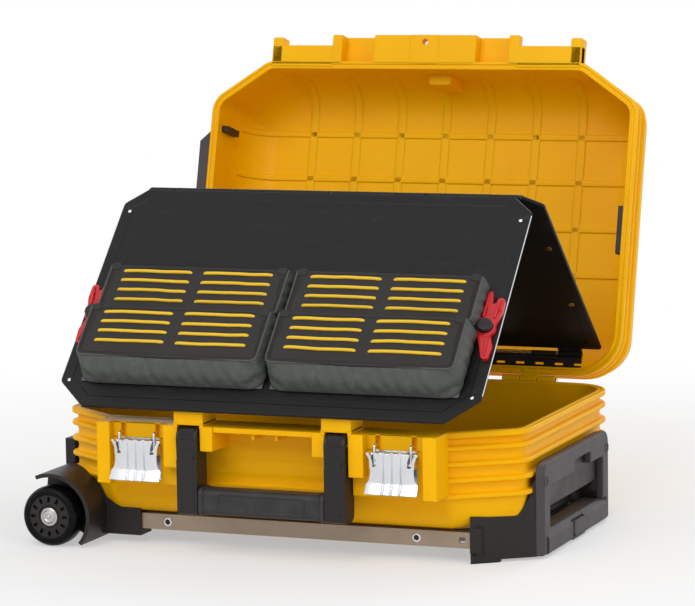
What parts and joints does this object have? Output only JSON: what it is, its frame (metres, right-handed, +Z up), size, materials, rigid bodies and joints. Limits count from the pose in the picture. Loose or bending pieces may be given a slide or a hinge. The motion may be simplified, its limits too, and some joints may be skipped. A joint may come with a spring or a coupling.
{
  "type": "wheeled hard tool case",
  "caption": "Wheeled hard tool case with ribbed shell, hinged lid, draw latches, carry handle, pull-out trolley handle and folding pocketed tool panels.",
  "frame": {"origin": "on the floor, at the middle of the open case's bounding box", "axes": "+X towards the trolley handle, +Y towards the lid hinge, +Z up; the carry handle and latches are on the -Y side"},
  "size_m": [0.5336, 0.5632, 0.498],
  "materials": {
    "case_yellow": "moulded, fine grain",
    "frame_black": "moulded",
    "housing_grey": "moulded",
    "grip_rubber": "soft",
    "liner_foam": "foam",
    "rail_aluminium": "anodised",
    "latch_steel": "zinc plated",
    "tyre": "smooth",
    "cap_metal": "dull",
    "pocket_cloth": "coated cloth",
    "board_black": "pressed board",
    "elastic": "elastic cord",
    "clip_red": "moulded",
    "rivet_brass": "plated"
  },
  "bodies": {
    "base": {"base_shell": "case_yellow", "floor_liner": "liner_foam", "rail_front": "rail_aluminium", "rail_back": "rail_aluminium", "rail_screws": "latch_steel", "wheel_frame": "frame_black", "axle": "latch_steel", "end_housing": "housing_grey", "housing_screws": "latch_steel", "hinge_pins": "latch_steel", "latch_plate_left": "latch_steel", "latch_plate_right": "latch_steel", "latch_pins": "latch_steel", "handle_pins": "latch_steel", "trolley_sleeves": "rail_aluminium"},
    "carry_handle": {"carry_handle": "frame_black", "handle_grip": "grip_rubber"},
    "latch_lever_left": {"lever_left": "latch_steel"},
    "latch_lever_right": {"lever_right": "latch_steel"},
    "latch_bail_left": {"bail_left": "latch_steel"},
    "latch_bail_right": {"bail_right": "latch_steel"},
    "wheel_front": {"tyre_front": "tyre", "hub_front": "frame_black", "hub_cap_front": "cap_metal"},
    "wheel_back": {"tyre_back": "tyre", "hub_back": "frame_black", "hub_cap_back": "cap_metal"},
    "trolley_mid": {"trolley_mid_tubes": "rail_aluminium"},
    "trolley_handle": {"trolley_tubes": "rail_aluminium", "trolley_grip": "housing_grey"},
    "trolley_button": {"trolley_button": "housing_grey"},
    "lid": {"lid_shell": "case_yellow", "lid_bumper": "housing_grey", "lid_clip_left": "frame_black", "lid_clip_right": "frame_black"},
    "panel_carrier": {"hinge_strip": "frame_black", "strip_pin": "latch_steel"},
    "rear_panel": {"rear_board": "board_black", "rear_rivets": "rivet_brass", "rear_pocket_left": "pocket_cloth", "rear_pocket_right": "pocket_cloth", "rear_plate_left": "frame_black", "rear_plate_right": "frame_black", "rear_elastics": "elastic"},
    "front_panel": {"front_board": "board_black", "pocket_lower_left": "pocket_cloth", "pocket_lower_right": "pocket_cloth", "pocket_upper_left": "pocket_cloth", "pocket_upper_right": "pocket_cloth", "plate_lower_left": "frame_black", "plate_lower_right": "frame_black", "plate_upper_left": "frame_black", "plate_upper_right": "frame_black", "elastics_lower": "elastic", "elastics_upper": "elastic", "apex_pin": "frame_black", "clip_knobs": "frame_black"},
    "clip_left": {"clip_left": "clip_red"},
    "clip_right": {"clip_right": "clip_red"}
  },
  "joints": [
    {"name": "lid_hinge", "type": "hinge", "parent": "base", "child": "lid", "pos_m": [0.00375, 0.10858, 0.133], "axis": [1, 0, 0], "range_deg": [0, 105]},
    {"name": "panel_lift", "type": "slide", "parent": "base", "child": "panel_carrier", "axis": [0, -0.9397, 0.342], "range_m": [0, 0.6]},
    {"name": "panel_fold", "type": "hinge", "parent": "panel_carrier", "child": "rear_panel", "pos_m": [0.00375, 0.13013, 0.15932], "axis": [-1, 0, 0], "range_deg": [0, 62]},
    {"name": "panel_apex", "type": "hinge", "parent": "rear_panel", "child": "front_panel", "pos_m": [0.00375, -0.07944, 0.34802], "axis": [1, 0, 0], "range_deg": [0, 90.54]},
    {"name": "handle_swing", "type": "hinge", "parent": "base", "child": "carry_handle", "pos_m": [0.00375, -0.26692, 0.12], "axis": [-1, 0, 0], "range_deg": [0, 90]},
    {"name": "trolley_slide", "type": "slide", "parent": "base", "child": "trolley_handle", "axis": [1, 0, 0], "range_m": [0, 0.46]},
    {"name": "trolley_mid_slide", "type": "slide", "parent": "base", "child": "trolley_mid", "axis": [1, 0, 0], "range_m": [0, 0.23]},
    {"name": "button_press", "type": "slide", "parent": "trolley_handle", "child": "trolley_button", "axis": [-1, 0, 0], "range_m": [0, 0.0035], "stiffness_N_per_m": 600, "springref_m": -0.002},
    {"name": "latch_lever_left", "type": "hinge", "parent": "base", "child": "latch_lever_left", "pos_m": [-0.13325, -0.26592, 0.113], "axis": [-1, 0, 0], "range_deg": [0, 90]},
    {"name": "latch_bail_left", "type": "hinge", "parent": "latch_lever_left", "child": "latch_bail_left", "pos_m": [-0.13325, -0.27052, 0.105], "axis": [1, 0, 0], "range_deg": [0, 99]},
    {"name": "clip_slide_left", "type": "slide", "parent": "front_panel", "child": "clip_left", "axis": [-1, 0, 0], "range_m": [0, 0.0035]},
    {"name": "latch_lever_right", "type": "hinge", "parent": "base", "child": "latch_lever_right", "pos_m": [0.14075, -0.26592, 0.113], "axis": [-1, 0, 0], "range_deg": [0, 90]},
    {"name": "latch_bail_right", "type": "hinge", "parent": "latch_lever_right", "child": "latch_bail_right", "pos_m": [0.14075, -0.27052, 0.105], "axis": [1, 0, 0], "range_deg": [0, 99]},
    {"name": "clip_slide_right", "type": "slide", "parent": "front_panel", "child": "clip_right", "axis": [1, 0, 0], "range_m": [0, 0.0035]},
    {"name": "wheel_spin_front", "type": "hinge", "parent": "base", "child": "wheel_front", "pos_m": [-0.23575, -0.25542, 0.031], "axis": [0, 1, 0], "continuous": true},
    {"name": "wheel_spin_back", "type": "hinge", "parent": "base", "child": "wheel_back", "pos_m": [-0.23575, 0.11858, 0.031], "axis": [0, 1, 0], "continuous": true}
  ],
  "couplings": [
    {"joint": "panel_lift", "follows": "lid_hinge", "m_per_rad": 0.3274},
    {"joint": "panel_apex", "follows": "panel_fold", "ratio": 1.4603},
    {"joint": "trolley_mid_slide", "follows": "trolley_slide", "ratio": 0.5},
    {"joint": "latch_bail_left", "follows": "latch_lever_left", "ratio": 1.1},
    {"joint": "latch_bail_right", "follows": "latch_lever_right", "ratio": 1.1}
  ]
}
